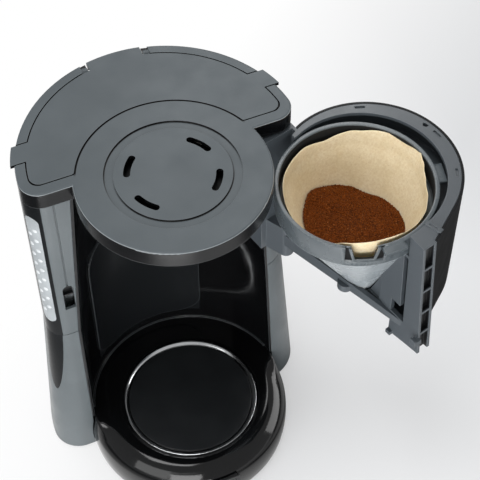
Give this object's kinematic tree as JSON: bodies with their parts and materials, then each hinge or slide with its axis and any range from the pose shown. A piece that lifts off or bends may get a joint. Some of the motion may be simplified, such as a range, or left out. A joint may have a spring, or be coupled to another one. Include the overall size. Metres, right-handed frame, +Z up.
{
  "type": "drip coffee maker",
  "caption": "Drip coffee maker with a round brew head, hinged tank lid, water gauge, open carafe bay with hot plate, and a filter basket that swings out on a side hinge.",
  "frame": {"origin": "on the table, under the axis of the round brew head", "axes": "+Z up, the front faces -Y, +X to the right as seen from the front, where the basket's hinge is"},
  "size_m": [0.3347, 0.2874, 0.355],
  "materials": {
    "cover_grey": "satin moulded plastic",
    "lid_grey": "fine matte moulded plastic",
    "lower_grey": "satin moulded plastic",
    "gloss_black": "polished black plastic",
    "inner_black": "plain black plastic",
    "tank_clear": "clear grey plastic",
    "window_white": "translucent white plastic",
    "basket_grey": "satin moulded plastic",
    "insert_grey": "smooth moulded plastic",
    "filter_paper": "unbleached filter paper",
    "ground_coffee": "ground coffee",
    "plate_black": "non-stick coated metal",
    "ring_chrome": "bright trim ring",
    "heater_alloy": "extruded alloy",
    "steel": "plain steel",
    "hose": "silicone",
    "white_plastic": "plain moulded plastic",
    "lens_red": "red indicator lens",
    "feet_rubber": "soft black rubber"
  },
  "bodies": {
    "housing": {"top_cover": "cover_grey", "upper_housing": "cover_grey", "lower_housing": "lower_grey", "base_shell": "gloss_black", "bay_liner": "gloss_black", "gauge_panel": "gloss_black", "gauge_tongue": "gloss_black", "head_underplate": "gloss_black", "base_plate": "inner_black", "switch_housing": "inner_black", "latch_catch": "inner_black", "spray_head": "inner_black", "water_tank": "tank_clear", "gauge_window": "window_white", "hot_plate": "plate_black", "hot_plate_ring": "ring_chrome", "heater_tube": "heater_alloy", "heating_element": "steel", "hinge_pin_lower": "steel", "hinge_pin_upper": "steel", "lid_hinge_pin": "steel", "base_screws": "steel", "thermostat": "steel", "thermal_fuses": "steel", "inlet_hose": "hose", "riser_tube": "hose", "check_valve": "white_plastic", "rubber_feet": "feet_rubber", "cord_inlet": "feet_rubber"},
    "basket": {"basket_frame": "basket_grey", "basket_front_shell": "basket_grey", "filter_insert": "insert_grey", "paper_filter": "filter_paper", "coffee_grounds": "ground_coffee", "valve_spring": "steel"},
    "drip_valve": {"valve_stem": "white_plastic", "valve_seal": "hose"},
    "lid": {"tank_lid": "lid_grey"},
    "rocker": {"power_rocker": "inner_black", "rocker_lens": "lens_red"}
  },
  "joints": [
    {"name": "basket_swing", "type": "hinge", "parent": "housing", "child": "basket", "pos_m": [0.0884, 0.0335, 0.206], "axis": [0, 0, 1], "range_deg": [-104, 0]},
    {"name": "lid_open", "type": "hinge", "parent": "housing", "child": "lid", "pos_m": [0, 0.127, 0.3505], "axis": [-1, 0, 0], "range_deg": [0, 95]},
    {"name": "drip_valve_lift", "type": "slide", "parent": "basket", "child": "drip_valve", "axis": [0, 0, 1], "range_m": [0, 0.005], "stiffness_N_per_m": 200, "springref_m": -0.006, "deforming": ["valve_spring"]},
    {"name": "power_rocker", "type": "hinge", "parent": "housing", "child": "rocker", "pos_m": [0, -0.0875, 0.023], "axis": [1, 0, 0], "range_deg": [0, 16]}
  ]
}
